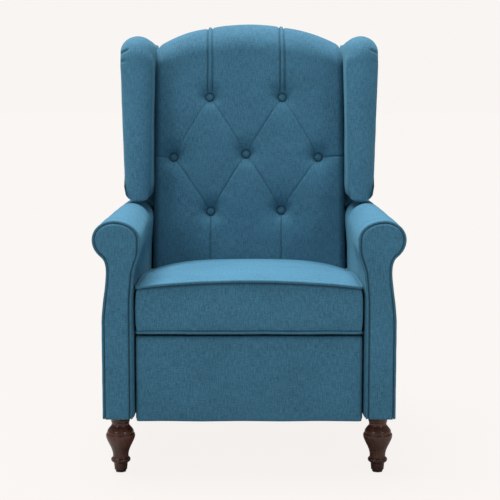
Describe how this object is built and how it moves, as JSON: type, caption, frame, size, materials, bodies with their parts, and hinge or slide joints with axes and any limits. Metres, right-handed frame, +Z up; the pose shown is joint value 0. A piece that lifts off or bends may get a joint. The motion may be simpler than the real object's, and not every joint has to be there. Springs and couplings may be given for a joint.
{
  "type": "recliner armchair",
  "caption": "Wingback armchair with rolled arms, a button-tufted back, a box seat cushion and turned front legs; leaning back slides the seat forward and unfolds a padded footrest.",
  "frame": {"origin": "on the floor, at the middle of the chair's bounding box, with the chair upright", "axes": "+Z up, -Y towards the front of the seat, +X to the right of someone who faces the chair"},
  "size_m": [0.7078, 0.8502, 1.0699],
  "materials": {
    "blue_linen": "heathered blue linen-look weave",
    "dark_walnut": "dark stained, satin varnish",
    "frame_wood": "bare, sanded",
    "black_steel": "black stoved paint",
    "spring_wire": "drawn wire",
    "black_nylon": "moulded"
  },
  "bodies": {
    "base": {"side_frame_left": "frame_wood", "side_frame_right": "frame_wood", "arm_pad_left": "blue_linen", "arm_pad_right": "blue_linen", "arm_facing_left": "blue_linen", "arm_facing_right": "blue_linen", "arm_welt_left": "blue_linen", "arm_welt_right": "blue_linen", "front_leg_left": "dark_walnut", "front_leg_right": "dark_walnut", "rear_leg_left": "dark_walnut", "rear_leg_right": "dark_walnut", "front_glide_left": "black_nylon", "front_glide_right": "black_nylon", "rear_glide_left": "black_nylon", "rear_glide_right": "black_nylon", "front_cross_rail": "frame_wood", "rear_cross_rail": "frame_wood", "rear_apron": "blue_linen", "base_rail_left": "black_steel", "base_rail_right": "black_steel", "return_spring_left": "spring_wire", "return_spring_right": "spring_wire"},
    "front_swing": {"front_swing_link_left": "black_steel", "front_swing_link_right": "black_steel"},
    "rear_swing": {"rear_swing_link_left": "black_steel", "rear_swing_link_right": "black_steel"},
    "seat": {"seat_frame": "frame_wood", "seat_cushion": "blue_linen", "seat_rail_left": "black_steel", "seat_rail_right": "black_steel", "seat_spring_1": "spring_wire", "seat_spring_2": "spring_wire", "seat_spring_3": "spring_wire", "seat_spring_4": "spring_wire"},
    "back": {"back_cushion": "blue_linen", "back_frame": "frame_wood", "back_shell": "blue_linen", "tuft_button_top_left": "blue_linen", "tuft_button_top_right": "blue_linen", "tuft_button_middle_left": "blue_linen", "tuft_button_middle_centre": "blue_linen", "tuft_button_middle_right": "blue_linen", "tuft_button_lower_left": "blue_linen", "tuft_button_lower_right": "blue_linen", "wing_pad_left": "blue_linen", "wing_pad_right": "blue_linen", "wing_frame_left": "frame_wood", "wing_frame_right": "frame_wood", "recline_bracket_left": "black_steel", "recline_bracket_right": "black_steel"},
    "footrest_upper": {"footrest_upper_link_left": "black_steel", "footrest_upper_link_right": "black_steel", "footrest_torque_tube": "black_steel"},
    "footrest_lower": {"footrest_lower_link_left": "black_steel", "footrest_lower_link_right": "black_steel"},
    "footrest": {"footrest_pad": "blue_linen", "footrest_board": "frame_wood", "footrest_bracket_left": "black_steel", "footrest_bracket_right": "black_steel"}
  },
  "joints": [
    {"name": "recline", "type": "hinge", "parent": "seat", "child": "back", "pos_m": [0, 0.20781, 0.27692], "axis": [-1, 0, 0], "range_deg": [0, 30]},
    {"name": "front_swing", "type": "hinge", "parent": "base", "child": "front_swing", "pos_m": [0, -0.18512, 0.195], "axis": [1, 0, 0], "range_deg": [0, 50], "deforming": ["return_spring_left", "return_spring_right"]},
    {"name": "seat_level", "type": "hinge", "parent": "front_swing", "child": "seat", "pos_m": [0, -0.12776, 0.27692], "axis": [-1, 0, 0], "range_deg": [0, 50]},
    {"name": "rear_swing", "type": "hinge", "parent": "base", "child": "rear_swing", "pos_m": [0, 0.10488, 0.195], "axis": [1, 0, 0], "range_deg": [0, 50]},
    {"name": "footrest_raise", "type": "hinge", "parent": "seat", "child": "footrest_upper", "pos_m": [0, -0.29572, 0.28491], "axis": [-1, 0, 0], "range_deg": [0, 95]},
    {"name": "footrest_knee", "type": "hinge", "parent": "footrest_upper", "child": "footrest_lower", "pos_m": [0, -0.26967, 0.13719], "axis": [1, 0, 0], "range_deg": [0, 145.5]},
    {"name": "footrest_tilt", "type": "hinge", "parent": "footrest_lower", "child": "footrest", "pos_m": [0, -0.35072, 0.26992], "axis": [-1, 0, 0], "range_deg": [0, 135.5]}
  ],
  "couplings": [
    {"joint": "front_swing", "follows": "recline", "ratio": 1.6667},
    {"joint": "seat_level", "follows": "recline", "ratio": 1.6667},
    {"joint": "rear_swing", "follows": "recline", "ratio": 1.6667},
    {"joint": "footrest_raise", "follows": "recline", "ratio": 3.1667},
    {"joint": "footrest_knee", "follows": "recline", "ratio": 4.85},
    {"joint": "footrest_tilt", "follows": "recline", "ratio": 4.5167}
  ]
}
